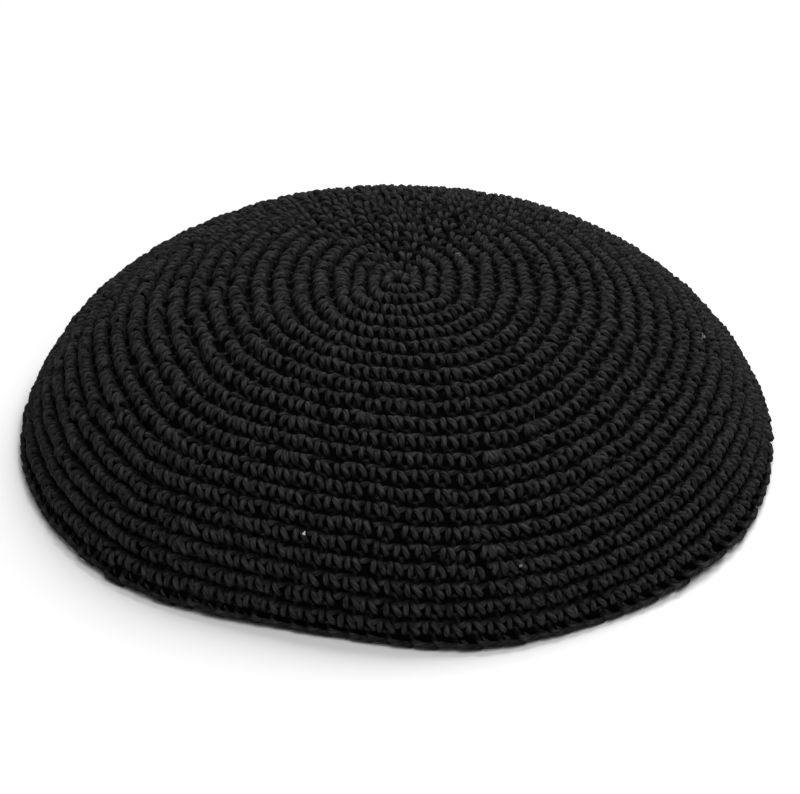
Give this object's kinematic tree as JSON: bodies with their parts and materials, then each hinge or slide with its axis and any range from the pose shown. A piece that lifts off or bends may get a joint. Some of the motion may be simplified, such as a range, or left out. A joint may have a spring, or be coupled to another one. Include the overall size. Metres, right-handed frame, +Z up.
{
  "type": "kippah skullcap",
  "caption": "Crocheted kippah: a shallow soft dome worked in spiral rounds, with a slightly wavy rim that it rests on and an open hollow for the head.",
  "frame": {"origin": "on the surface that the rim rests on, under the middle of the outline", "axes": "+Z up through the crown, -Y towards the side that the picture shows in front, +X to that view's right"},
  "size_m": [0.1704, 0.1698, 0.043],
  "materials": {
    "black_yarn": "matte crocheted yarn"
  },
  "bodies": {
    "root": {"crown": "black_yarn"}
  },
  "joints": []
}
